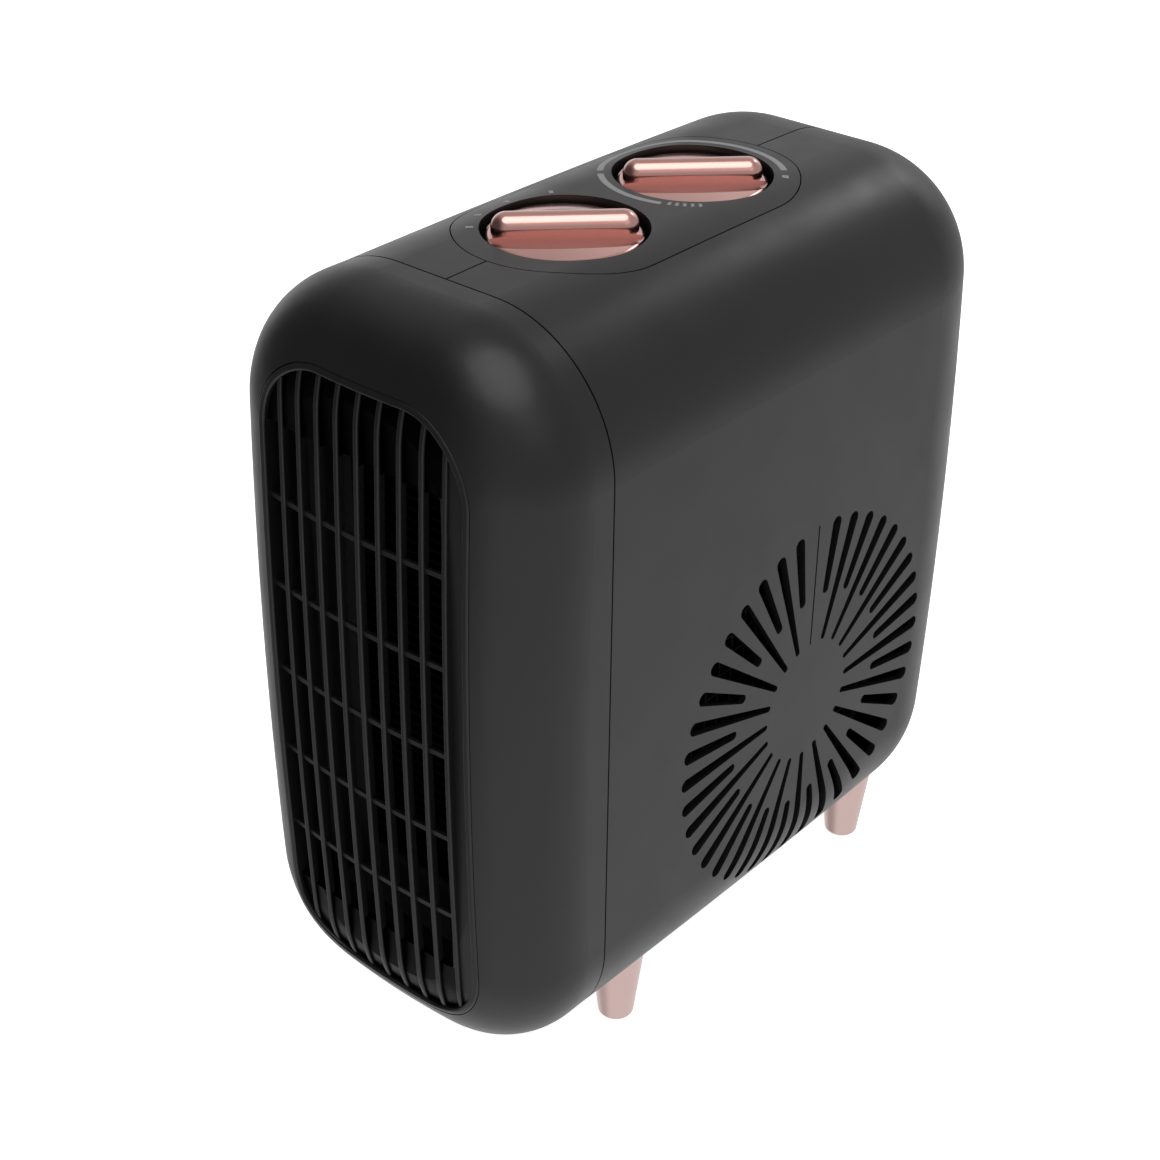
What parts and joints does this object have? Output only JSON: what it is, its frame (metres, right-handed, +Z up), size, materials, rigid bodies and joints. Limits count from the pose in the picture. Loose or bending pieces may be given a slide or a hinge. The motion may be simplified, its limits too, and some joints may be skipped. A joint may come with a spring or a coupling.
{
  "type": "ceramic fan heater",
  "caption": "Slim free-standing ceramic fan heater: rounded plastic case, slatted front outlet, round side intake, top power and thermostat knobs, tapered feet.",
  "frame": {"origin": "on the floor under the middle of the body, at the level of the four foot pads", "axes": "+Z up, -Y towards the warm air outlet at the front, +X towards the side with the air intake"},
  "size_m": [0.116, 0.233, 0.2603],
  "materials": {
    "body_plastic": "fine satin moulded plastic, anthracite",
    "grille_plastic": "satin moulded plastic, near black",
    "rose_metal": "satin rose-gold metallised plastic",
    "inner_plastic": "plain moulded heat-proof plastic, black",
    "heat_plastic": "plain glass-filled heat-proof plastic, ivory",
    "aluminium": "bare rolled aluminium",
    "ceramic": "fired PTC ceramic, grey",
    "ceramic_white": "fired steatite, off-white",
    "brass": "bare stamped brass",
    "steel": "zinc plated steel",
    "motor_steel": "pressed steel can",
    "bimetal": "rolled bimetal strip",
    "bronze": "sintered bronze",
    "rubber": "soft matt rubber"
  },
  "bodies": {
    "housing": {"front_cover": "body_plastic", "right_shell": "body_plastic", "left_shell": "body_plastic", "control_fascia": "body_plastic", "outlet_grille": "grille_plastic", "foot_front_right": "rose_metal", "foot_front_left": "rose_metal", "foot_rear_right": "rose_metal", "foot_rear_left": "rose_metal", "foot_pads": "rubber", "foot_screws": "steel", "case_screws": "steel", "duct_screws": "steel", "selector_switch": "inner_plastic", "thermostat_base": "ceramic_white", "thermostat_blade": "bimetal", "dust_filter": "inner_plastic", "scroll_cover": "inner_plastic", "scroll_housing": "inner_plastic", "motor_body": "motor_steel", "motor_bearings": "bronze", "motor_bracket": "steel", "motor_screws": "steel", "air_duct": "inner_plastic", "element_frame": "heat_plastic", "heating_core": "aluminium", "ceramic_stones": "ceramic", "element_terminals": "brass", "thermal_cutout": "inner_plastic", "thermal_fuse": "aluminium", "tilt_switch_case": "inner_plastic", "tilt_pin": "steel", "terminal_block": "heat_plastic", "terminal_screws": "brass", "cord_bush": "rubber"},
    "selector": {"selector_knob": "rose_metal", "selector_shaft": "inner_plastic"},
    "thermostat": {"thermostat_knob": "rose_metal", "thermostat_shaft": "inner_plastic"},
    "rotor": {"impeller": "inner_plastic", "fan_shaft": "steel", "motor_rotor": "motor_steel"},
    "tilt_weight": {"tilt_pendulum": "steel"}
  },
  "joints": [
    {"name": "selector_turn", "type": "hinge", "parent": "housing", "child": "selector", "pos_m": [0, -0.0325, 0.25], "axis": [0, 0, 1], "range_deg": [-84, 0]},
    {"name": "thermostat_turn", "type": "hinge", "parent": "housing", "child": "thermostat", "pos_m": [0, 0.0236, 0.25], "axis": [0, 0, 1], "range_deg": [-195, 0]},
    {"name": "fan_spin", "type": "hinge", "parent": "housing", "child": "rotor", "pos_m": [0, 0.0164, 0.1012], "axis": [1, 0, 0], "continuous": true},
    {"name": "tilt_swing", "type": "hinge", "parent": "housing", "child": "tilt_weight", "pos_m": [-0.011, 0.06, 0.043], "axis": [1, 0, 0], "range_deg": [-18, 18]}
  ]
}
